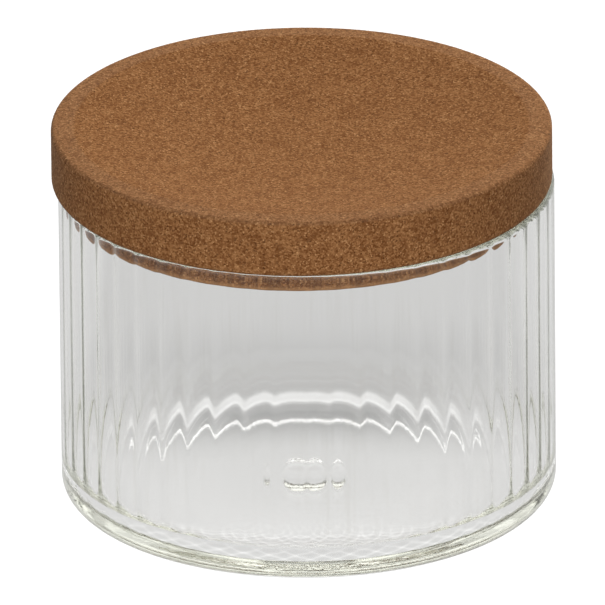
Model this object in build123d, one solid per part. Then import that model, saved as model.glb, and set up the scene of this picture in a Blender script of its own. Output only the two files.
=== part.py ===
from build123d import *
import math
import os

# Glass jar with ribs on the inside of its wall, closed by a turned cork lid.
# Lengths are millimetres. The origin is on the surface the jar stands on,
# on the jar's own axis, and +Z is up.

# Jar, overall
jar_diameter = 105.0
jar_height = 73.0

# Jar wall. The wall is measured where it is thinnest, at the bottom of a flute.
wall_thickness = 2.2
rib_count = 49
rib_depth = 0.23
ridge_width_share = 0.25
ridge_turn_share = -0.215
rim_radius = 1.1
rim_bevel_angle = 45

# Jar base. A heel is a flat-bottomed curve, wider than it is high, that turns
# tightly where it leaves the wall and gently where it meets the foot or floor.
# The base thickness is the height of the floor's edge above the foot. The nub
# hangs under the middle of the base, with a dimple of its radius in the floor.
base_thickness = 3.7
outer_heel_width = 14.5
outer_heel_height = 6.3
outer_heel_side_radius = 3.6
inner_heel_width = 10.7
inner_heel_height = 9.6
inner_heel_side_radius = 7.1
foot_width = 0.8
push_up_height = 1.4
floor_rise = 2.1
nub_radius = 7.0
nub_height = 0.9
dimple_depth = 0.45

# Lid, overall
lid_overhang = 0.5
lid_thickness = 12.5
lid_top_edge_radius = 1.0
lid_bottom_edge_radius = 1.15

# Lid, dished top
rim_band_width = 5.0
dish_depth = 4.4

# Lid, plug
plug_depth = 4.8
plug_edge_bevel = 0.5
plug_clearance = 1.4
plug_side_gap = 0.5
seat_gap = 0.05

# The bowl is cut this much wider than the flutes, which then shape its wall
bowl_margin = 0.05

# Cutting tools run past the surfaces they cut by this much
overrun = 3.0

jar_radius = jar_diameter / 2
flute_radius = jar_radius - wall_thickness
crest_radius = flute_radius - rib_depth
lid_radius = jar_radius + lid_overhang
plug_radius = crest_radius - plug_clearance
lid_shift = plug_clearance - plug_side_gap


def turned(lines):
    """Solid of revolution about Z from a closed outline in the XZ plane."""
    return revolve(make_face(lines), axis=Axis.Z)


def polar(radius, angle):
    """Point in the XY plane, with its angle in radians."""
    return (radius * math.cos(angle), radius * math.sin(angle))


def xz(across, up):
    """Point in the XZ plane."""
    return (across, 0, up)


def arc_point(centre_across, centre_up, radius, degrees):
    """Point on a circle in the XZ plane, counted from +X towards +Z."""
    angle = math.radians(degrees)
    return xz(centre_across + radius * math.cos(angle), centre_up + radius * math.sin(angle))


def arc_span(centre_across, centre_up, radius, first, last):
    """Arc in the XZ plane from one angle to another, in degrees."""
    middle = (first + last) / 2
    return ThreePointArc(
        arc_point(centre_across, centre_up, radius, first),
        arc_point(centre_across, centre_up, radius, middle),
        arc_point(centre_across, centre_up, radius, last),
    )


def cap_height(radius, rise, across):
    """Height of a shallow cap above its edge; a negative rise makes it hang below."""
    sphere = (radius ** 2 + rise ** 2) / (2 * abs(rise))
    height = math.sqrt(sphere ** 2 - across ** 2) - (sphere - abs(rise))
    return math.copysign(height, rise)


def cap_arc(radius, rise, edge_height, start, end):
    """Arc of a shallow cap's section between two distances from the axis."""
    stations = [start, (start + end) / 2, end]
    points = [xz(r, edge_height + cap_height(radius, rise, r)) for r in stations]
    return ThreePointArc(*points)


def heel(wall_radius, bottom, width, height, side_radius):
    """Two tangent arcs from the flat bottom, through the heel, up to the wall."""
    excess = width ** 2 + height ** 2 - 2 * width * side_radius
    lower_radius = excess / (2 * (height - side_radius))
    turn = math.degrees(math.atan2(width - side_radius, lower_radius - height))
    lower = arc_span(wall_radius - width, bottom + lower_radius, lower_radius, -90, turn - 90)
    upper = arc_span(wall_radius - side_radius, bottom + height, side_radius, turn - 90, 0)
    return [lower, upper]


def jar_blank():
    """Outside of the jar: nub, pushed-up foot, round heel, straight wall, round rim."""
    foot_outer = jar_radius - outer_heel_width
    foot_inner = foot_outer - foot_width
    nub_level = cap_height(foot_inner, push_up_height, nub_radius)
    outer_heel = heel(jar_radius, 0, outer_heel_width, outer_heel_height, outer_heel_side_radius)
    rim_centre = jar_radius - rim_radius
    rim_level = jar_height - rim_radius
    bevel_start = arc_point(rim_centre, rim_level, rim_radius, 180 - rim_bevel_angle)
    bevel_across = bevel_start[0] - crest_radius + overrun
    bevel_end = xz(bevel_start[0] - bevel_across, bevel_start[2] - bevel_across)
    lines = [
        cap_arc(nub_radius, -nub_height, nub_level, 0, nub_radius),
        cap_arc(foot_inner, push_up_height, 0, nub_radius, foot_inner),
        Line(xz(foot_inner, 0), xz(foot_outer, 0)),
        *outer_heel,
        Line(xz(jar_radius, outer_heel_height), xz(jar_radius, rim_level)),
        arc_span(rim_centre, rim_level, rim_radius, 0, 180 - rim_bevel_angle),
        Line(bevel_start, bevel_end),
        Line(bevel_end, xz(0, bevel_end[2])),
        Line(xz(0, bevel_end[2]), xz(0, nub_level - nub_height)),
    ]
    return turned(lines)


def bowl():
    """Space inside the jar, wide enough to take the flutes, with its round heel."""
    wall_radius = flute_radius + bowl_margin
    floor_edge = wall_radius - inner_heel_width
    dimple_level = base_thickness + cap_height(floor_edge, floor_rise, nub_radius)
    heel_top = base_thickness + inner_heel_height
    inner_heel = heel(
        wall_radius, base_thickness, inner_heel_width, inner_heel_height, inner_heel_side_radius
    )
    top = jar_height + overrun
    lines = [
        cap_arc(nub_radius, -dimple_depth, dimple_level, 0, nub_radius),
        cap_arc(floor_edge, floor_rise, base_thickness, nub_radius, floor_edge),
        *inner_heel,
        Line(xz(wall_radius, heel_top), xz(wall_radius, top)),
        Line(xz(wall_radius, top), xz(0, top)),
        Line(xz(0, top), xz(0, dimple_level - dimple_depth)),
    ]
    return turned(lines)


def fluted_core():
    """Prism whose side has one wide flute and one narrow ridge per rib."""
    pitch = 2 * math.pi / rib_count
    half_ridge = pitch * ridge_width_share / 2
    joint_radius = crest_radius + rib_depth * ridge_width_share
    front = -math.pi / 2 + ridge_turn_share * pitch
    arcs = []
    for rib in range(rib_count):
        crest = front + rib * pitch
        ridge_start = polar(joint_radius, crest - half_ridge)
        ridge_end = polar(joint_radius, crest + half_ridge)
        next_start = polar(joint_radius, crest + pitch - half_ridge)
        arcs.append(ThreePointArc(ridge_start, polar(crest_radius, crest), ridge_end))
        flute_bottom = polar(flute_radius, crest + pitch / 2)
        arcs.append(ThreePointArc(ridge_end, flute_bottom, next_start))
    return extrude(make_face(arcs), amount=jar_height + 2 * overrun)


def glass_jar():
    """Jar in one piece of glass: its blank less the fluted inside."""
    return jar_blank() - (bowl() & fluted_core())


def lid_disc():
    """Disc of the lid, with rounded edges and the shallow dish in its top."""
    bottom = jar_height + seat_gap
    top = bottom + lid_thickness
    dish_radius = lid_radius - rim_band_width
    upper_centre = lid_radius - lid_top_edge_radius
    lower_centre = lid_radius - lid_bottom_edge_radius
    lower_level = bottom + lid_bottom_edge_radius
    upper_level = top - lid_top_edge_radius
    dish_half = dish_radius / 2
    dish_middle = top - cap_height(dish_radius, dish_depth, dish_half)
    lines = [
        ThreePointArc(xz(0, top - dish_depth), xz(dish_half, dish_middle), xz(dish_radius, top)),
        Line(xz(dish_radius, top), xz(upper_centre, top)),
        arc_span(upper_centre, upper_level, lid_top_edge_radius, 90, 0),
        Line(xz(lid_radius, upper_level), xz(lid_radius, lower_level)),
        arc_span(lower_centre, lower_level, lid_bottom_edge_radius, 0, -90),
        Line(xz(lower_centre, bottom), xz(0, bottom)),
        Line(xz(0, bottom), xz(0, top - dish_depth)),
    ]
    return turned(lines)


def lid_plug():
    """Plug of the lid, a clearance fit inside the ridges of the jar's mouth."""
    bottom = jar_height + seat_gap - plug_depth
    middle = jar_height + seat_gap + lid_bottom_edge_radius
    lines = Polyline(
        xz(0, bottom),
        xz(plug_radius - plug_edge_bevel, bottom),
        xz(plug_radius, bottom + plug_edge_bevel),
        xz(plug_radius, middle),
        xz(0, middle),
        close=True,
    )
    return turned(lines)


def cork_lid():
    """Lid in one piece of cork, pushed to one side within the plug's play."""
    return Pos(-lid_shift, 0, 0) * (lid_disc() + lid_plug())


os.makedirs("parts", exist_ok=True)
export_step(glass_jar(), "parts/glass_jar.step")
export_step(cork_lid(), "parts/cork_lid.step")
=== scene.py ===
import math

import bpy
import numpy as np
from bpy.props import FloatProperty, FloatVectorProperty, IntProperty, PointerProperty
from bpy.types import Operator, Panel, PropertyGroup
from mathutils import Matrix, Vector


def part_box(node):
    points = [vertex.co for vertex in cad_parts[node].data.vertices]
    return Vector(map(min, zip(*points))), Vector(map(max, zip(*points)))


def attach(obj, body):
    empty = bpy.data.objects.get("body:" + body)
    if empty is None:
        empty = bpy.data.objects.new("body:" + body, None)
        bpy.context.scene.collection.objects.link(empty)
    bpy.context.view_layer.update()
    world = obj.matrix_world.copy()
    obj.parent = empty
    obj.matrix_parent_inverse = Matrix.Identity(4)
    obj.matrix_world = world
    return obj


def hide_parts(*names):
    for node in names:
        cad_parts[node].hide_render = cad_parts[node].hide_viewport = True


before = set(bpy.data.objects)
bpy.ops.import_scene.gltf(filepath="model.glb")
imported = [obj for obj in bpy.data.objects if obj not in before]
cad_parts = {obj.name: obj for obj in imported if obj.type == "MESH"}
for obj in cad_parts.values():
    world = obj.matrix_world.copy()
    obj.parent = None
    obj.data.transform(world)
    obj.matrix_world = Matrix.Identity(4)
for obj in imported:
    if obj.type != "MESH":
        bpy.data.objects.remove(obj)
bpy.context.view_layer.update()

bl_info = {
    "name": "Ribbed glass jar with cork lid",
    "version": (1, 0, 0),
    "blender": (4, 5, 0),
    "location": "3D View > Sidebar > Jar",
    "description": "Builds a ribbed glass jar, its turned cork lid and a plain studio around them",
    "category": "Add Mesh",
}

MM = 0.001
RIBS = 49
JAR_LOW, JAR_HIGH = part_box("glass_jar")
LID_LOW, LID_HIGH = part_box("cork_lid")


def length(name, description, millimetres):
    """A length property in metres, with its default given in millimetres."""
    return FloatProperty(
        name=name, description=description, default=millimetres * MM, unit="LENGTH", precision=5
    )


def colour(name, description, default):
    """A colour property; the default is in linear light."""
    return FloatVectorProperty(
        name=name, description=description, default=default, size=3, subtype="COLOR", min=0, max=1
    )


def share(name, description, default):
    """A plain factor between nought and one."""
    return FloatProperty(name=name, description=description, default=default, min=0, max=1)


def number(name, description, default):
    """A plain number."""
    return FloatProperty(name=name, description=description, default=default)


def srgb(red, green, blue):
    """Linear light from display values between 0 and 255."""
    values = np.array([red, green, blue]) / 255
    linear = np.where(values <= 0.04045, values / 12.92, ((values + 0.055) / 1.055) ** 2.4)
    return tuple(float(v) for v in linear)


class JarSizes(PropertyGroup):
    wall: length("Wall", "Glass between the outside and the bottom of a flute", 2.2)
    rib_count: IntProperty(name="Ribs", description="Ribs round the inside", default=RIBS, min=3)
    rib_depth: length("Rib depth", "Height of a ridge above the flutes", 0.23)
    ridge_share: share("Ridge share", "Share of a rib's pitch that its ridge takes", 0.25)
    ridge_turn: FloatProperty(
        name="Ridge turn",
        description="Turn of the ridge nearest the front from the front of the jar",
        default=math.radians(-1.58),
        subtype="ANGLE",
    )
    rim_radius: length("Rim radius", "Radius of the fire-polished rim", 1.1)
    base: length("Base", "Height of the floor's edge above the foot", 3.7)
    outer_heel_width: length("Outer heel width", "How far the outer heel reaches in", 14.5)
    outer_heel_height: length("Outer heel height", "How far the outer heel reaches up", 6.3)
    outer_heel_side: length("Outer heel side", "Radius where the outer heel leaves the wall", 3.6)
    inner_heel_width: length("Inner heel width", "How far the inner heel reaches in", 10.7)
    inner_heel_height: length("Inner heel height", "How far the inner heel reaches up", 9.6)
    inner_heel_side: length("Inner heel side", "Radius where the inner heel leaves the wall", 7.1)
    foot_width: length("Foot width", "Width of the flat ring the jar stands on", 0.8)
    push_up: length("Push-up", "Height of the middle of the base above the foot", 1.4)
    floor_rise: length("Floor rise", "Height of the middle of the floor above its edge", 2.1)
    nub_radius: length("Nub radius", "Radius of the nub under the base and the dimple over it", 7.0)
    nub_height: length("Nub height", "Height of the nub under the middle of the base", 0.9)
    dimple_depth: length("Dimple depth", "Depth of the dimple in the middle of the floor", 0.45)


class LidSizes(PropertyGroup):
    top_edge: length("Top edge", "Radius of the lid's upper edge", 1.0)
    bottom_edge: length("Bottom edge", "Radius of the lid's lower edge", 1.15)
    rim_band: length("Rim band", "Width of the flat band round the dish", 5.0)
    dish_depth: length("Dish depth", "Depth of the dish below the band", 4.4)
    plug_depth: length("Plug depth", "How far the plug reaches below the disc", 4.8)
    plug_radius: length("Plug radius", "Radius of the plug", 48.67)
    plug_bevel: length("Plug bevel", "Bevel on the plug's lower edge", 0.5)
    relief: length("Relief", "Depth of the sanded surface's pits", 0.06)
    grain: length("Grain", "Size of a cork granule", 0.36)


class GlassFinish(PropertyGroup):
    tint: colour("Tint", "Colour of light through the surface", (0.99, 0.988, 0.984))
    streak: colour("Streak", "Colour of light through a drawn streak", (0.95, 0.945, 0.93))
    body: colour("Body tint", "Colour of light through thick glass", (0.78, 0.80, 0.66))
    shade: colour("Shade", "Lamplight that one surface lets through", (0.94, 0.95, 0.93))
    body_density: number("Body density", "Absorption per metre of glass", 8.0)
    ior: number("Refractive index", "How strongly the glass bends light", 1.47)
    ripple: share("Ripple", "Strength of the drawn surface's waviness", 0.05)
    ripple_depth: length("Ripple depth", "Height of the waviness at full strength", 1.0)
    drawn: number("Drawn lines", "Lines per metre across the drawn surface", 650.0)
    drawn_height: share("Drawn height", "Height of the lines against the broad waves", 0.25)
    drawn_run: share("Drawn run", "Squeeze of the lines' pattern along the axis", 0.06)
    waves: number("Broad waves", "Waves per metre across the surface", 60.0)
    wave_run: share("Wave run", "Squeeze of the waves' pattern along the axis", 0.5)
    patches: number("Streak patches", "Patches per metre where streaks show", 45.0)


class CorkFinish(PropertyGroup):
    light: colour("Light grain", "The palest granules", srgb(174, 126, 82))
    middle: colour("Middle grain", "Most granules", srgb(143, 97, 59))
    dark: colour("Dark grain", "The darkest granules", srgb(104, 61, 30))
    speck: colour("Specks", "Bark specks", srgb(78, 46, 26))
    # Painted sheen: this colour pales the band round the dish and the rounding of the top edge,
    # standing in for light
    band: colour("Band", "Rubbed cork on the band round the dish", srgb(196, 164, 134))
    # Also the colour of the painted highlight on the plug's lower edge
    crumb_and_lit_edge: colour("Crumbs", "The few palest granules", srgb(200, 152, 104))
    roughness: share("Roughness", "Roughness of the sanded cork", 0.88)
    roughness_play: share("Roughness play", "How much the fine grain changes it", 0.12)
    seam_width: share("Seam width", "Width of the seams, as a share of a granule", 0.14)
    seam_shade: share("Seam shade", "How much the seams darken", 0.3)
    speck_shade: share("Speck shade", "How much a bark speck covers its granule", 0.7)
    crumb_shade: share("Crumb shade", "How much the palest granules stand out", 0.7)
    band_shade: share("Band shade", "How much the rubbed band pales", 0.07)
    score_shade: share("Score shade", "How much the plug's scoring darkens", 0.4)
    # Painted highlight on the plug's lower edge, standing in for light that the floor throws up
    plug_edge_light: share("Edge shade", "How much the plug's lower edge pales", 0.35)
    scores: number("Scoring", "Scores per metre round the plug", 800.0)
    score_run: share("Score run", "Squeeze of the scores' pattern along the axis", 0.04)
    pit_strength: share("Pit strength", "Strength of the small pits", 0.48)
    pit_depth: share("Pit depth", "Depth of the small pits, as a share of a granule", 0.16)
    shine: share("Shine", "Shine of the dry cork", 0.12)
    bloom: share("Bloom", "Soft light along edges from the cork's fuzz", 0.05)
    bloom_spread: share("Bloom spread", "Roughness of the soft light along edges", 0.35)
    bloom_tint: colour("Bloom tint", "Colour of the soft light along edges", (1.0, 0.8, 0.55))


class StageSettings(PropertyGroup):
    floor_size: length("Floor size", "Side of the floor", 6000.0)
    floor_gap: length("Floor gap", "Floor below the foot, so that they don't share a plane", 0.05)
    floor_seen: number("Seen floor", "Light of the floor straight to the camera", 0.93)
    # Painted lines of light on the floor, seen only in glass
    lattice: share("Lattice", "Light that the ribs cross on the floor under the heel", 0.16)
    floor_lit: share("Lit floor", "Share of the floor's look that lamps and shadow make", 0.2)
    horizon: number("Horizon", "Light of the backdrop just over the floor, in glass", 3.3)
    front: number("Front", "Light of the room before the jar, low down, seen in glass", 0.55)
    front_mirrored: number("Mirrored front", "The same, seen mirrored on the glass", 0.3)
    front_high: number("High front", "Light of the room before the jar, high up", 1.2)
    far_dimmed: share("Dimmed floor", "How much the far floor in front darkens, mirrored", 0.8)
    bounce: share("Bounce", "Lamplight that the floor throws back on the object", 0.48)
    ambient: number("Ambient", "Light of the surroundings on the object", 0.1)
    key_power: number("Key power", "Watts of the softbox behind the jar", 35.0)
    fill_power: number("Fill power", "Watts of the front softbox", 22.8)
    camera_distance: length("Camera distance", "Camera to the foot of the jar", 6000.0)
    camera_pitch: FloatProperty(
        name="Camera pitch",
        description="How far the camera looks down",
        default=math.radians(23.521),
        subtype="ANGLE",
    )
    camera_roll: FloatProperty(
        name="Camera roll", description="Turn about the view", default=math.radians(0.547),
        subtype="ANGLE",
    )
    camera_lens: number("Camera lens", "Focal length in millimetres", 1680.2)
    across: length("Across", "Place of the foot's centre across the view", 1.42)
    below: length("Below", "Place of the foot's centre up the view", -40.68)


SETTINGS = {
    "jar_sizes": JarSizes,
    "lid_sizes": LidSizes,
    "jar_glass": GlassFinish,
    "jar_cork": CorkFinish,
    "jar_stage": StageSettings,
}


# Light of the floor behind the jar, against the distance from its axis in mm, painted on the floor:
# a painted shadow ring where the thick base would shade it, and a painted ring of light outside
# that where its heel would gather light
FLOOR_LIGHT = (
    (0, 0.71), (18, 0.67), (24, 0.47), (31, 0.38), (37, 0.36), (43, 0.45), (46, 0.84),
    (51, 0.84), (53.5, 0.58), (56, 0.58), (60, 0.6), (78, 0.59), (90, 0.63), (100, 0.66),
    (160, 0.68),
)
# The same to the left and right
SIDE_LIGHT = (
    (0, 0.71), (18, 0.62), (31, 0.51), (42, 0.53), (46, 0.59), (51, 0.63), (56, 0.65),
    (62, 0.67), (75, 0.71), (100, 0.75), (160, 0.77),
)
# The same before the jar
FRONT_LIGHT = (
    (0, 0.73), (25, 0.76), (40, 0.72), (52, 0.71), (90, 0.76), (120, 0.63), (160, 0.54),
)
# Light of the backdrop and ceiling behind the jar, against the sine of the height
BACK_LIGHT = (
    (0, 1.0), (0.09, 1.0), (0.14, 0.65), (0.27, 0.65), (0.31, 0.8), (0.37, 0.7), (0.45, 0.85),
    (0.6, 1.3), (0.8, 1.6), (1, 1.6),
)
# The distance in mm where the floor's light stops changing
LIGHT_REACH = 160

# Stretches on the floor, in mm, over which its light changes from one kind to the next
FLOOR_BEHIND = (12, 36)
FLOOR_FAR = (90, 160)
LATTICE_FRONT = (18, 30)
LATTICE_EDGE = (48, 53)
# Lean of a lattice line, added to the angle in its sine for each mm outwards
LATTICE_LEAN = 0.5
# The same kind of stretches for the parts of a direction
FLOOR_STRAIGHT = (0.6, 0.95)
SKY_BEHIND = (-0.75, -0.3)
SKY_ASIDE = (0.2, 0.4)
SKY_HORIZON = (0.05, 0.095)
SKY_HIGH = (0.6, 0.85)

# Levels between which each pattern comes in
STREAK_TONES = (0.52, 0.7)
PATCH_TONES = (0.4, 0.65)
SPECK_TONES = (0.9, 0.92)
CRUMB_TONES = (0.93, 0.95)
SCORE_TONES = (0.5, 0.62)
# Levels of the darkest and the palest cork
CORK_TONES = (0.12, 0.88)
# Shares of the granule, the fine and the broad noise in the cork's level, and what comes off
TONE_SHARES, TONE_OFFSET = (0.65, 0.6, 0.25), 0.26
# Shares of the granule, its seam, the fine noise and the specks in the height of the pits
HEIGHT_SHARES = (0.6, 0.6, 0.5, 0.4)
# How far noise moves a granule, as a share of its size, and how many noises one granule takes
WANDER_SHARE, WANDER_PER_GRAIN = 0.6, 1.2
FINE_PER_GRAIN, BROAD_PER_GRAIN = 2.6, 0.06

# Stretches of the lid in mm: the painted sheen on the band from the dish's edge and from the top,
# the scoring from the disc and from the plug's side, and the painted highlight on the plug's edge
# from its underside and its side
BAND_OUT, BAND_UP = (-0.2, 0.5), (-0.9, -0.4)
SCORED_UP, SCORED_OUT = (-0.4, -0.1), (-2.67, -0.67)
EDGE_UP, EDGE_OUT = (0.6, 1.2), (-2.67, -1.67)

# Points along each stretch of the jar's section, and round one rib
BASE_STEPS, NUB_STEPS, HEEL_STEPS, WALL_STEPS, RIM_STEPS, LIP_STEPS = 20, 14, 16, 8, 17, 3
RIDGE_STEPS, FLUTE_STEPS = 6, 9
# Points along each stretch of the lid's section, and round the lid
UNDERSIDE_STEPS, BEVEL_STEPS, PLUG_STEPS, EDGE_STEPS, SIDE_STEPS = 20, 6, 10, 9, 26
BAND_STEPS, DISH_STEPS = 12, 44
LID_TURNS = 720
# Radius of the smallest ring round the axis, which a fan of triangles closes
GLASS_POLE, CORK_POLE = MM / 10, MM / 4
# Where the rim ends, on the way from no rib depth at its start to all of it below the lip
LIP_SHARE = 0.6
# The cork's pits in the mesh: two seeds, the dust's size as a share of a granule, and the
# radius round the axis within which the pits fade out
PIT_SEED, DUST_SEED = 11, 23
DUST_SHARE = 0.6
SMOOTH_MIDDLE = 4 * MM

# Softboxes, in metres, and the point that they are turned to
SOFTBOX_SIZE = (0.9, 1.0)
BACK_SOFTBOX = (0.5, 1.33, 0.85)
FRONT_SOFTBOX = (-0.1, -1.6, 0.9)
SOFTBOX_AIM = (0, 0, 0.05)
# Width of the camera's sensor in mm, and the farthest that it sees in metres
SENSOR_WIDTH = 36
FARTHEST_SEEN = 50
# Turns that light may take between the walls of the glass
LIGHT_BOUNCES = 48


def arc(centre_r, centre_z, radius, first, last, count):
    """Points on a circle in the section, r = centre + radius cos a, z = centre + radius sin a."""
    angle = np.radians(np.linspace(first, last, count))
    return np.stack([centre_r + radius * np.cos(angle), centre_z + radius * np.sin(angle)], 1)


def line(start, end, count):
    """Evenly spaced points from start to end in the section."""
    step = np.linspace(0, 1, count)[:, None]
    return np.asarray(start) * (1 - step) + np.asarray(end) * step


def cap(radius, rise, edge_z, first_r, last_r, count):
    """Points on a shallow spherical cap, whose middle is its rise above (or below) its edge."""
    r = np.linspace(first_r, last_r, count)
    sphere = (radius ** 2 + rise ** 2) / (2 * abs(rise))
    height = np.sqrt(sphere ** 2 - r ** 2) - (sphere - abs(rise))
    return np.stack([r, edge_z + math.copysign(1, rise) * height], 1)


def heel(wall_radius, bottom, width, height, side_radius, count):
    """Two tangent arcs from the flat bottom, through the heel, up to the wall."""
    excess = width ** 2 + height ** 2 - 2 * width * side_radius
    lower = excess / (2 * (height - side_radius))
    turn = math.degrees(math.atan2(width - side_radius, lower - height))
    gentle = arc(wall_radius - width, bottom + lower, lower, -90, turn - 90, count)
    tight = arc(wall_radius - side_radius, bottom + height, side_radius, turn - 90, 0, count)
    return np.vstack([gentle, tight[1:]])


def rib_height(turn, count, ridge_share):
    """Nought on a ridge's crest and one in a flute's bottom; two parabolas that meet tangent."""
    phase = np.abs((turn * count / (2 * np.pi) + 0.5) % 1 - 0.5)
    ridge = ridge_share * (2 * phase / ridge_share) ** 2
    flute = 1 - (1 - ridge_share) * ((1 - 2 * phase) / (1 - ridge_share)) ** 2
    return np.where(phase < ridge_share / 2, ridge, flute)


def rib_turns(count, ridge_share, ridge_steps, flute_steps):
    """Angles round the jar, counted from a ridge's crest, closer together on the ridges."""
    ridge = np.linspace(-ridge_share / 2, ridge_share / 2, ridge_steps + 1)[:-1]
    flute = np.linspace(ridge_share / 2, 1 - ridge_share / 2, flute_steps + 1)[:-1]
    one = np.concatenate([ridge, flute])
    return ((np.arange(count)[:, None] + one[None, :]) * 2 * np.pi / count).ravel()


def closed_surface(name, points, first_pole, last_pole):
    """Mesh from a grid of points, rows by columns, closed round its columns and at two poles."""
    rows, columns = points.shape[:2]
    vertices = np.vstack([points.reshape(-1, 3), [first_pole, last_pole]])
    index = np.arange(rows * columns).reshape(rows, columns)
    ahead = np.roll(index, -1, axis=1)
    quads = np.stack([index[:-1], ahead[:-1], ahead[1:], index[1:]], -1).reshape(-1, 4)
    south = np.full(columns, rows * columns)
    north = south + 1
    fans = np.vstack([
        np.stack([south, ahead[0], index[0]], 1),
        np.stack([north, index[-1], ahead[-1]], 1),
    ])
    sizes = np.concatenate([np.full(len(quads), 4), np.full(len(fans), 3)])
    corners = np.concatenate([quads.ravel(), fans.ravel()])
    mesh = bpy.data.meshes.new(name)
    mesh.vertices.add(len(vertices))
    mesh.vertices.foreach_set("co", vertices.ravel())
    mesh.loops.add(len(corners))
    mesh.loops.foreach_set("vertex_index", corners)
    mesh.polygons.add(len(sizes))
    mesh.polygons.foreach_set("loop_start", np.concatenate([[0], np.cumsum(sizes)[:-1]]))
    mesh.polygons.foreach_set("loop_total", sizes)
    mesh.polygons.foreach_set("use_smooth", np.ones(len(sizes), bool))
    mesh.update(calc_edges=True)
    mesh.validate()
    piece = bpy.data.objects.new(name, mesh)
    bpy.context.scene.collection.objects.link(piece)
    return piece


def turned_points(section, turns, axis_x):
    """Grid of points: each row is one point of the section carried round the axis."""
    r = section[:, :1] if section.ndim == 2 else section[..., 0]
    z = section[:, 1:] if section.ndim == 2 else section[..., 1]
    x = axis_x + r * np.cos(turns)
    y = r * np.sin(turns)
    return np.stack(np.broadcast_arrays(x, y, z * np.ones_like(turns)), -1)


def lattice_value(cells, seed):
    """A repeatable pseudo-random value between nought and one for each whole-number cell."""
    mixed = cells.astype(np.int64) * np.array([73856093, 19349663, 83492791])
    code = (mixed[..., 0] ^ mixed[..., 1] ^ mixed[..., 2]) + seed * 2654435761
    code = ((code >> 13) ^ code) * 1274126177 & 0x7FFFFFFF
    return ((code >> 7) ^ code) % 65536 / 65536


def soft_noise(points, size, seed):
    """Value noise: lattice values blended by a smooth step in each direction."""
    scaled = points / size
    whole = np.floor(scaled)
    part = scaled - whole
    part = part * part * (3 - 2 * part)
    total = np.zeros(points.shape[:-1])
    for corner in np.ndindex(2, 2, 2):
        weight = np.prod(np.where(np.array(corner) == 1, part, 1 - part), axis=-1)
        total += weight * lattice_value(whole + np.array(corner), seed)
    return total


def grain_depth(points, size, seed):
    """Cellular pits: nought at a granule's middle, growing towards the seam with the next one."""
    scaled = points / size
    whole = np.floor(scaled)
    nearest = np.full(points.shape[:-1], 9.0)
    second = nearest.copy()
    for corner in np.ndindex(3, 3, 3):
        cell = whole + np.array(corner) - 1
        jitter = np.stack([lattice_value(cell, seed + k) for k in range(3)], -1)
        distance = np.linalg.norm(cell + jitter - scaled, axis=-1)
        second = np.minimum(second, np.maximum(nearest, distance))
        nearest = np.minimum(nearest, distance)
    return np.clip(1 - (second - nearest) * 3, 0, 1)


class Value:
    """A shader socket in an expression; an operator on it adds a Math node."""

    def __init__(self, shader, socket):
        self.shader = shader
        self.socket = socket

    def maths(self, operation, *others):
        """Result of one Math node with this value first."""
        values = {i: v for i, v in enumerate((self, *others))}
        node = self.shader.add("ShaderNodeMath", {"operation": operation}, values)
        return Value(self.shader, node.outputs[0])

    def flipped(self, operation, other):
        """Result of one Math node with this value second."""
        values = {0: other, 1: self}
        node = self.shader.add("ShaderNodeMath", {"operation": operation}, values)
        return Value(self.shader, node.outputs[0])

    def __add__(self, other):
        return self.maths("ADD", other)

    def __radd__(self, other):
        return self.flipped("ADD", other)

    def __sub__(self, other):
        return self.maths("SUBTRACT", other)

    def __rsub__(self, other):
        return self.flipped("SUBTRACT", other)

    def __mul__(self, other):
        return self.maths("MULTIPLY", other)

    def __truediv__(self, other):
        return self.maths("DIVIDE", other)

    def __pow__(self, other):
        return self.maths("POWER", other)

    def clamped(self):
        """This value held between nought and one."""
        return self.maths("MAXIMUM", 0.0).maths("MINIMUM", 1.0)

    def above(self, low, high):
        """Nought below low, one above high and even between them."""
        return ((self - low) / (high - low)).clamped()

    def past(self, start, stretch):
        """Nought before a stretch in mm from a start in metres, one after it, even in it."""
        return self.above(start + stretch[0] * MM, start + stretch[1] * MM)


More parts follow.
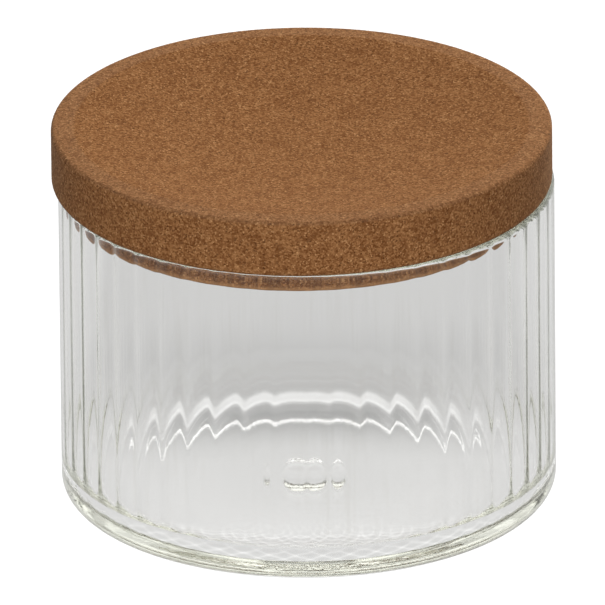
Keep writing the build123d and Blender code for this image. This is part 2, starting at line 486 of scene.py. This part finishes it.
class Shader:
    """A material's or world's node tree, emptied, with one way to add any node."""

    def __init__(self, owner):
        owner.use_nodes = True
        self.tree = owner.node_tree
        self.tree.nodes.clear()

    def add(self, kind, settings=None, values=None):
        """Adds a node: its settings first, then the values or links of its sockets."""
        node = self.tree.nodes.new(kind)
        for key, setting in (settings or {}).items():
            setattr(node, key, setting)
        for key, value in (values or {}).items():
            self.feed(node.inputs[key], value)
        return node

    def feed(self, socket, value):
        """Sets one socket to a number or colour, or links a value to it."""
        if isinstance(value, Value):
            value = value.socket
        if isinstance(value, bpy.types.NodeSocket):
            self.tree.links.new(value, socket)
        elif hasattr(socket.default_value, "__len__"):
            spare = len(socket.default_value) - len(value)
            socket.default_value = tuple(value) + (1.0,) * spare
        else:
            socket.default_value = value

    def value(self, kind, output, settings=None, values=None):
        """One output of a new node as a Value."""
        return Value(self, self.add(kind, settings, values).outputs[output])

    def place(self):
        """The point on the piece, in its own coordinates."""
        return self.value("ShaderNodeTexCoord", "Object")

    def parts(self, place):
        """The three parts of a place as values."""
        split = self.add("ShaderNodeSeparateXYZ", None, {0: place})
        return [Value(self, output) for output in split.outputs]

    def stretched(self, place, scale):
        """The place with each direction scaled."""
        return self.value("ShaderNodeMapping", 0, None, {"Vector": place, "Scale": scale})

    def noise(self, place, scale, detail=2.0, roughness=0.5):
        """Soft noise between nought and one."""
        values = {"Vector": place, "Scale": scale, "Detail": detail, "Roughness": roughness}
        return self.value("ShaderNodeTexNoise", 0, None, values)

    def profile(self, value, reach, stops):
        """A curve over a value from nought to its reach, through the stops' (place, height)."""
        peak = max(height for _, height in stops)
        node = self.add("ShaderNodeValToRGB", None, {"Fac": value / reach})
        points = node.color_ramp.elements
        while len(points) < len(stops):
            points.new(0.5)
        for point, (place, _) in zip(points, stops):
            point.position = place / reach
        for point, (_, height) in zip(points, stops):
            point.color = (height / peak, height / peak, height / peak, 1)
        return Value(self, node.outputs[0]) * peak

    def mix(self, factor, first, second):
        """A colour between two colours."""
        node = self.add("ShaderNodeMix", {"data_type": "RGBA"}, {0: factor, 6: first, 7: second})
        return Value(self, node.outputs[2])


def glass_material(finish):
    """Clear heat-resistant glass: drawn waviness outside, a faint tint in thick places."""
    material = bpy.data.materials.new("clear_ribbed_glass")
    shader = Shader(material)
    place = shader.place()
    drawn = shader.noise(shader.stretched(place, (1, 1, finish.drawn_run)), finish.drawn, 2.0)
    broad = shader.noise(shader.stretched(place, (1, 1, finish.wave_run)), finish.waves, 1.0)
    patches = shader.noise(place, finish.patches, 1.0)
    streaks = drawn.above(*STREAK_TONES) * patches.above(*PATCH_TONES)
    tint = shader.mix(streaks, finish.tint, finish.streak)
    bump = shader.value("ShaderNodeBump", 0, None, {
        "Height": drawn * finish.drawn_height + broad,
        "Strength": finish.ripple,
        "Distance": finish.ripple_depth,
    })
    glass = shader.add("ShaderNodeBsdfPrincipled", None, {
        "Base Color": tint,
        "Roughness": 0.0,
        "IOR": finish.ior,
        "Transmission Weight": 1.0,
        "Normal": bump,
    })
    shade = shader.add("ShaderNodeBsdfTransparent", None, {"Color": finish.shade})
    shadow = shader.value("ShaderNodeLightPath", "Is Shadow Ray")
    surface = shader.add(
        "ShaderNodeMixShader", None, {0: shadow, 1: glass.outputs[0], 2: shade.outputs[0]}
    )
    body = shader.add(
        "ShaderNodeVolumeAbsorption", None, {"Color": finish.body, "Density": finish.body_density}
    )
    shader.add(
        "ShaderNodeOutputMaterial", None,
        {"Surface": surface.outputs[0], "Volume": body.outputs[0]},
    )
    return material


def cork_tones(shader, finish, tone):
    """The cork's three tones, from dark over middle to light."""
    ramp = shader.add("ShaderNodeValToRGB", None, {"Fac": tone})
    stops = ramp.color_ramp.elements
    stops[0].position, stops[1].position = CORK_TONES
    stops[0].color = (*finish.dark, 1)
    stops[1].color = (*finish.light, 1)
    stops.new(sum(CORK_TONES) / 2).color = (*finish.middle, 1)
    return ramp.outputs[0]


def cork_cells(shader, grain, place):
    """Two random shares of each granule, and the distance from its seam."""
    wander = shader.add(
        "ShaderNodeTexNoise", None, {"Vector": place, "Scale": WANDER_PER_GRAIN / grain}
    )
    wandered = shader.value(
        "ShaderNodeVectorMath", 0, {"operation": "MULTIPLY_ADD"},
        {0: wander.outputs["Color"], 1: (grain * WANDER_SHARE,) * 3, 2: place},
    )
    granules = {"Vector": wandered, "Scale": 1 / grain}
    cells = shader.add("ShaderNodeTexVoronoi", None, granules)
    split = shader.add("ShaderNodeSeparateColor", None, {0: cells.outputs["Color"]})
    edges = shader.value(
        "ShaderNodeTexVoronoi", "Distance", {"feature": "DISTANCE_TO_EDGE"}, granules
    )
    return Value(shader, split.outputs[0]), Value(shader, split.outputs[1]), edges


def cork_scores_and_painted_light(shader, finish, sizes, place, pressed):
    """Pressed cork with a painted sheen on the band round the dish and over the top edge, its plug
    scored along its height, and a painted highlight on the plug's lower edge.
    """
    axis_x = (LID_HIGH.x + LID_LOW.x) / 2
    dish = (LID_HIGH.x - LID_LOW.x) / 2 - sizes.rim_band
    disc = LID_LOW.z + sizes.plug_depth
    across, north, up = shader.parts(place)
    radius = ((across - axis_x) ** 2 + north ** 2) ** 0.5
    # Painted sheen on the top band and over the rounding of the top edge
    band = radius.past(dish, BAND_OUT) * up.past(LID_HIGH.z, BAND_UP)
    sheen_painted = shader.mix(band * finish.band_shade, pressed, finish.band)
    lines = shader.noise(shader.stretched(place, (1, 1, finish.score_run)), finish.scores, 1.0)
    side = (1 - up.past(disc, SCORED_UP)) * radius.past(sizes.plug_radius, SCORED_OUT)
    scores = side * lines.above(*SCORE_TONES) * finish.score_shade
    scored = shader.mix(scores, sheen_painted, finish.speck)
    # Painted highlight: the plug's lower edge is paled as if lit from the floor below
    edge = (1 - up.past(LID_LOW.z, EDGE_UP)) * radius.past(sizes.plug_radius, EDGE_OUT)
    return shader.mix(edge * finish.plug_edge_light, scored, finish.crumb_and_lit_edge)


def cork_material(finish, sizes):
    """Fine pressed cork: granules of three tones, darker seams, bark specks and small pits."""
    grain = sizes.grain
    material = bpy.data.materials.new("pressed_cork")
    shader = Shader(material)
    place = shader.place()
    first, second, edges = cork_cells(shader, grain, place)
    fine = shader.noise(place, FINE_PER_GRAIN / grain, 2.0, 0.6)
    broad = shader.noise(place, BROAD_PER_GRAIN / grain, 3.0, 0.55)
    tone = first * TONE_SHARES[0] + fine * TONE_SHARES[1] + broad * TONE_SHARES[2] - TONE_OFFSET
    seam = 1 - edges.above(0.0, finish.seam_width)
    specks = second.above(*SPECK_TONES) * (1 - seam)
    crumbs = (1 - second).above(*CRUMB_TONES) * (1 - seam)
    plain = cork_tones(shader, finish, tone)
    seamed = shader.mix(seam * finish.seam_shade, plain, finish.dark)
    crumbed = shader.mix(crumbs * finish.crumb_shade, seamed, finish.crumb_and_lit_edge)
    speckled = shader.mix(specks * finish.speck_shade, crumbed, finish.speck)
    granule, groove, dust, hollow = HEIGHT_SHARES
    bump = shader.value("ShaderNodeBump", 0, None, {
        "Height": (1 - seam * groove) * granule + fine * dust - specks * hollow,
        "Strength": finish.pit_strength,
        "Distance": grain * finish.pit_depth,
    })
    surface = shader.add("ShaderNodeBsdfPrincipled", None, {
        "Base Color": cork_scores_and_painted_light(shader, finish, sizes, place, speckled),
        "Roughness": finish.roughness + (fine - 0.5) * finish.roughness_play,
        "Specular IOR Level": finish.shine,
        "Sheen Weight": finish.bloom,
        "Sheen Roughness": finish.bloom_spread,
        "Sheen Tint": finish.bloom_tint,
        "Normal": bump,
    })
    shader.add("ShaderNodeOutputMaterial", None, {"Surface": surface.outputs[0]})
    return material


def jar_section(sizes, radius, height):
    """Section of the glass from the middle of the underside, over the rim, to the floor's middle.

    Gives the points and, for each, the share of the rib depth that shows there: one on the
    inner wall, falling to nought through the inner heel and over the rim.
    """
    foot = radius - sizes.outer_heel_width
    foot_inner = foot - sizes.foot_width
    flute = radius - sizes.wall
    floor_edge = flute - sizes.inner_heel_width
    heel_top = sizes.base + sizes.inner_heel_height
    rim_r = radius - sizes.rim_radius
    rim_z = height - sizes.rim_radius
    inner_lip = rim_r - sizes.rim_radius
    underside = cap(foot_inner, sizes.push_up, 0, sizes.nub_radius, foot_inner, BASE_STEPS)
    nub = cap(
        sizes.nub_radius, -sizes.nub_height, underside[0, 1], GLASS_POLE, sizes.nub_radius,
        NUB_STEPS,
    )
    outer_heel = heel(
        radius, 0, sizes.outer_heel_width, sizes.outer_heel_height, sizes.outer_heel_side,
        HEEL_STEPS,
    )
    outer_wall = line((radius, sizes.outer_heel_height), (radius, rim_z), WALL_STEPS)
    rim = arc(rim_r, rim_z, sizes.rim_radius, 0, 180, RIM_STEPS)
    inner_wall = line((inner_lip, rim_z), (flute, rim_z - 2 * sizes.rim_radius), LIP_STEPS)
    lower_wall = line((flute, rim_z - 2 * sizes.rim_radius), (flute, heel_top), WALL_STEPS)
    inner_heel = heel(
        flute, sizes.base, sizes.inner_heel_width, sizes.inner_heel_height,
        sizes.inner_heel_side, HEEL_STEPS,
    )[::-1]
    floor = cap(
        floor_edge, sizes.floor_rise, sizes.base, floor_edge, sizes.nub_radius, BASE_STEPS
    )
    dimple = cap(
        sizes.nub_radius, -sizes.dimple_depth, floor[-1, 1], sizes.nub_radius, GLASS_POLE,
        NUB_STEPS,
    )
    stretches = [
        (nub, 0, 0), (underside[1:], 0, 0), (outer_heel[1:], 0, 0), (outer_wall[1:], 0, 0),
        (rim[1:-1], 0, LIP_SHARE), (inner_wall, LIP_SHARE, 1), (lower_wall[1:], 1, 1),
        (inner_heel[1:], 1, 0), (floor[1:], 0, 0), (dimple[1:], 0, 0),
    ]
    section = np.vstack([points for points, _, _ in stretches])
    shares = [np.linspace(first, last, len(points)) for points, first, last in stretches]
    smooth = np.concatenate(shares)
    return section, smooth * smooth * (3 - 2 * smooth)


def jar_mesh(sizes):
    """The glass: its section carried round, with the inner radius less the ribs' height."""
    radius = (JAR_HIGH.x - JAR_LOW.x) / 2
    section, shares = jar_section(sizes, radius, JAR_HIGH.z)
    turns = rib_turns(sizes.rib_count, sizes.ridge_share, RIDGE_STEPS, FLUTE_STEPS)
    ridge = 1 - rib_height(turns, sizes.rib_count, sizes.ridge_share)
    angles = turns - np.pi / 2 + sizes.ridge_turn
    r = section[:, :1] - shares[:, None] * sizes.rib_depth * ridge[None, :]
    z = np.broadcast_to(section[:, 1:], r.shape)
    points = turned_points(np.stack([r, z], -1), angles, 0.0)
    south = (0, 0, float(section[0, 1]))
    north = (0, 0, float(section[-1, 1]))
    return closed_surface("ribbed_glass_jar", points, south, north)


def lid_section(sizes, radius, bottom, top):
    """Section of the cork from the plug's underside, round the disc, to the dish's middle."""
    plug_bottom = bottom - sizes.plug_depth
    bevel = sizes.plug_bevel
    dish = radius - sizes.rim_band
    dish_top = cap(dish, sizes.dish_depth, 0, dish, CORK_POLE, DISH_STEPS)
    dish_top[:, 1] = top - dish_top[:, 1]
    lower = radius - sizes.bottom_edge
    upper = radius - sizes.top_edge
    flat = sizes.plug_radius - bevel
    stretches = [
        line((CORK_POLE, plug_bottom), (flat, plug_bottom), UNDERSIDE_STEPS),
        arc(flat, plug_bottom + bevel, bevel, -90, 0, BEVEL_STEPS)[1:],
        line(
            (sizes.plug_radius, plug_bottom + bevel), (sizes.plug_radius, bottom), PLUG_STEPS
        )[1:],
        line((sizes.plug_radius, bottom), (lower, bottom), EDGE_STEPS)[1:],
        arc(lower, bottom + sizes.bottom_edge, sizes.bottom_edge, -90, 0, EDGE_STEPS)[1:],
        line(
            (radius, bottom + sizes.bottom_edge), (radius, top - sizes.top_edge), SIDE_STEPS
        )[1:],
        arc(upper, top - sizes.top_edge, sizes.top_edge, 0, 90, EDGE_STEPS)[1:],
        line((upper, top), (dish, top), BAND_STEPS)[1:],
        dish_top[1:],
    ]
    return np.vstack(stretches)


def lid_mesh(sizes):
    """The cork: its section carried round, sunk along its normal by the grain's pits."""
    radius = (LID_HIGH.x - LID_LOW.x) / 2
    axis_x = (LID_HIGH.x + LID_LOW.x) / 2
    bottom = LID_LOW.z + sizes.plug_depth
    section = lid_section(sizes, radius, bottom, LID_HIGH.z)
    turns = np.linspace(0, 2 * np.pi, LID_TURNS, endpoint=False)
    points = turned_points(section, turns, axis_x)
    along = np.gradient(section, axis=0)
    along /= np.linalg.norm(along, axis=1)[:, None]
    inward_r = -along[:, 1:]
    inward_z = along[:, :1]
    normal = np.stack(np.broadcast_arrays(
        inward_r * np.cos(turns), inward_r * np.sin(turns), inward_z * np.ones_like(turns)
    ), -1)
    pits = grain_depth(points, sizes.grain, PIT_SEED) / 2
    pits += soft_noise(points, sizes.grain * DUST_SHARE, DUST_SEED) / 2
    near_axis = np.clip(section[:, :1] / SMOOTH_MIDDLE, 0, 1)
    points = points + normal * (sizes.relief * pits * near_axis)[..., None]
    south = (axis_x, 0, float(section[0, 1]))
    north = (axis_x, 0, float(section[-1, 1]))
    return closed_surface("turned_cork_lid", points, south, north)


def finish_piece(piece, material, body, node):
    """Gives a piece its material, says what it rides on and hides the part that it stands for."""
    piece.data.materials.append(material)
    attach(piece, body)
    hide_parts(node)


def camera_frame(stage):
    """The camera's matrix: level, then pitched down and rolled, aimed by the foot's place."""
    cos_p, sin_p = math.cos(stage.camera_pitch), math.sin(stage.camera_pitch)
    cos_r, sin_r = math.cos(stage.camera_roll), math.sin(stage.camera_roll)
    level = Vector((1, 0, 0))
    up = Vector((0, sin_p, cos_p))
    ahead = Vector((0, cos_p, -sin_p))
    right = level * cos_r - up * sin_r
    above = level * sin_r + up * cos_r
    place = -(right * stage.across + above * stage.below + ahead * stage.camera_distance)
    turn = Matrix((right, above, -ahead)).transposed().to_4x4()
    return Matrix.Translation(place) @ turn


def make_camera(stage):
    """The camera with the photograph's view, set as the scene's own."""
    lens = bpy.data.cameras.new("product_camera")
    lens.lens = stage.camera_lens
    lens.sensor_width = SENSOR_WIDTH
    lens.clip_end = FARTHEST_SEEN
    camera = bpy.data.objects.new("product_camera", lens)
    camera.matrix_world = camera_frame(stage)
    bpy.context.scene.collection.objects.link(camera)
    bpy.context.scene.camera = camera


def seen_mask(shader):
    """One for rays to the camera, for rays in gloss or glass and for reflections alone.

    A ray through clear glass counts as glossy too, so a reflection is gloss that isn't through.
    """
    path = shader.add("ShaderNodeLightPath")
    camera = Value(shader, path.outputs["Is Camera Ray"])
    gloss = Value(shader, path.outputs["Is Glossy Ray"])
    through = Value(shader, path.outputs["Is Transmission Ray"])
    return camera, gloss.maths("MAXIMUM", through), gloss * (1 - through)


def floor_material(stage):
    """White floor that keeps a soft shadow: part its own light, part lit by the lamps."""
    material = bpy.data.materials.new("white_floor")
    shader = Shader(material)
    camera, glassy, mirrored = seen_mask(shader)
    place = shader.place()
    across, north, _ = shader.parts(place)
    distance = shader.value("ShaderNodeVectorMath", 1, {"operation": "LENGTH"}, {0: place})
    radius = distance / MM
    dimmed = mirrored * radius.above(*FLOOR_FAR) * stage.far_dimmed
    # Seen in glass, the floor's light is painted: a painted shadow ring under the base, painted
    # rings and lines of light near the heel
    before = shader.profile(radius, LIGHT_REACH, FRONT_LIGHT) * (1 - dimmed)
    aside = shader.profile(radius, LIGHT_REACH, SIDE_LIGHT)
    straight = (north / distance).above(*FLOOR_STRAIGHT)
    after = aside + straight * (shader.profile(radius, LIGHT_REACH, FLOOR_LIGHT) - aside)
    behind = north.past(0, FLOOR_BEHIND)
    lattice = rib_lattice(across, north, radius) * stage.lattice
    through = before + behind * (after - before) + lattice
    strength = camera * stage.floor_seen + glassy * through
    light = shader.add(
        "ShaderNodeEmission", None, {"Color": (1, 1, 1), "Strength": strength}
    )
    lit_share = (1 - camera - glassy) * stage.bounce + camera * stage.floor_lit
    grey = shader.add("ShaderNodeCombineColor", None, {0: lit_share, 1: lit_share, 2: lit_share})
    matt = shader.add("ShaderNodeBsdfDiffuse", None, {"Color": grey.outputs[0]})
    both = shader.add("ShaderNodeAddShader", None, {0: light.outputs[0], 1: matt.outputs[0]})
    shader.add("ShaderNodeOutputMaterial", None, {"Surface": both.outputs[0]})
    return material


def rib_lattice(across, north, radius):
    """Crossed painted lines of light, one pair to a rib, on the floor under the front of the heel.

    A line is bright where the sine of half the ribs' count times the angle round the jar, plus
    or minus the lean times the radius in mm, is nought.
    """
    turn = across.maths("ARCTAN2", north * -1) * (RIBS / 2)
    slant = radius * LATTICE_LEAN
    lines = [
        (1 - (turn + slant * side).maths("SINE").maths("ABSOLUTE")) ** 2 for side in (1, -1)
    ]
    front = (north * -1).past(0, LATTICE_FRONT)
    inside = 1 - radius.above(*LATTICE_EDGE)
    return (lines[0] + lines[1]) * front * inside


def make_floor(stage):
    """A wide floor just under the foot."""
    half = stage.floor_size / 2
    corners = np.array([[-1, -1, 0], [1, -1, 0], [1, 1, 0], [-1, 1, 0]]) * half
    corners[:, 2] = -stage.floor_gap
    mesh = bpy.data.meshes.new("studio_floor")
    mesh.from_pydata(corners.tolist(), [], [(0, 1, 2, 3)])
    floor = bpy.data.objects.new("studio_floor", mesh)
    bpy.context.scene.collection.objects.link(floor)
    mesh.materials.append(floor_material(stage))


def make_world(stage):
    """White to the camera, a little darker in glass, and plain soft light on the object."""
    world = bpy.data.worlds.new("studio_world")
    bpy.context.scene.world = world
    shader = Shader(world)
    camera, glassy, mirrored = seen_mask(shader)
    direction = shader.value("ShaderNodeTexCoord", "Generated")
    across, north, height = shader.parts(direction)
    up = height.clamped()
    side = across.maths("ABSOLUTE").above(*SKY_ASIDE)
    low = (1 - up.above(*SKY_HORIZON)) * (1 - side) * (stage.horizon - 1)
    back = shader.profile(up, 1, BACK_LIGHT) + low
    low_front = stage.front + mirrored * (stage.front_mirrored - stage.front)
    fore = low_front + up.above(*SKY_HIGH) * (stage.front_high - low_front)
    through = fore + north.above(*SKY_BEHIND) * (back - fore)
    strength = stage.ambient + camera * (1 - stage.ambient) + glassy * (through - stage.ambient)
    light = shader.add(
        "ShaderNodeBackground", None, {"Color": (1, 1, 1), "Strength": strength}
    )
    shader.add("ShaderNodeOutputWorld", None, {"Surface": light.outputs[0]})


def softbox(name, place, power):
    """A rectangular lamp, turned to the jar, which the glass doesn't show."""
    lamp = bpy.data.lights.new(name, "AREA")
    lamp.shape = "RECTANGLE"
    lamp.size, lamp.size_y = SOFTBOX_SIZE
    lamp.energy = power
    holder = bpy.data.objects.new(name, lamp)
    aim = (Vector(SOFTBOX_AIM) - Vector(place)).to_track_quat("-Z", "Y")
    holder.matrix_world = Matrix.Translation(place) @ aim.to_matrix().to_4x4()
    holder.visible_glossy = holder.visible_transmission = False
    bpy.context.scene.collection.objects.link(holder)


class JAR_OT_glass(Operator):
    """Build the ribbed glass jar"""

    bl_idname = "jar.glass"
    bl_label = "Glass jar"

    def execute(self, context):
        scene = context.scene
        piece = jar_mesh(scene.jar_sizes)
        finish_piece(piece, glass_material(scene.jar_glass), "jar", "glass_jar")
        return {"FINISHED"}


class JAR_OT_lid(Operator):
    """Build the turned cork lid"""

    bl_idname = "jar.lid"
    bl_label = "Cork lid"

    def execute(self, context):
        scene = context.scene
        piece = lid_mesh(scene.lid_sizes)
        material = cork_material(scene.jar_cork, scene.lid_sizes)
        finish_piece(piece, material, "lid", "cork_lid")
        return {"FINISHED"}


class JAR_OT_stage(Operator):
    """Build the floor, the lights and the camera"""

    bl_idname = "jar.stage"
    bl_label = "Studio"

    def execute(self, context):
        stage = context.scene.jar_stage
        make_floor(stage)
        make_world(stage)
        softbox("back_softbox", BACK_SOFTBOX, stage.key_power)
        softbox("front_softbox", FRONT_SOFTBOX, stage.fill_power)
        make_camera(stage)
        scene = context.scene
        scene.view_settings.view_transform = "Standard"
        scene.cycles.max_bounces = LIGHT_BOUNCES
        scene.cycles.glossy_bounces = LIGHT_BOUNCES
        scene.cycles.transmission_bounces = LIGHT_BOUNCES
        return {"FINISHED"}


class JAR_PT_panel(Panel):
    """The jar's pieces and studio in the sidebar"""

    bl_idname = "JAR_PT_panel"
    bl_label = "Jar with cork lid"
    bl_space_type = "VIEW_3D"
    bl_region_type = "UI"
    bl_category = "Jar"

    def draw(self, context):
        for operator in OPERATORS:
            self.layout.operator(operator.bl_idname)
        for name, group in SETTINGS.items():
            box = self.layout.box()
            settings = getattr(context.scene, name)
            for field in group.__annotations__:
                box.prop(settings, field)


OPERATORS = (JAR_OT_glass, JAR_OT_lid, JAR_OT_stage)
CLASSES = (*SETTINGS.values(), *OPERATORS, JAR_PT_panel)


def register():
    for item in CLASSES:
        bpy.utils.register_class(item)
    for name, group in SETTINGS.items():
        setattr(bpy.types.Scene, name, PointerProperty(type=group))


def unregister():
    for name in SETTINGS:
        delattr(bpy.types.Scene, name)
    for item in reversed(CLASSES):
        bpy.utils.unregister_class(item)


def main():
    register()
    bpy.ops.jar.glass()
    bpy.ops.jar.lid()
    bpy.ops.jar.stage()


if __name__ == "__main__":
    main()
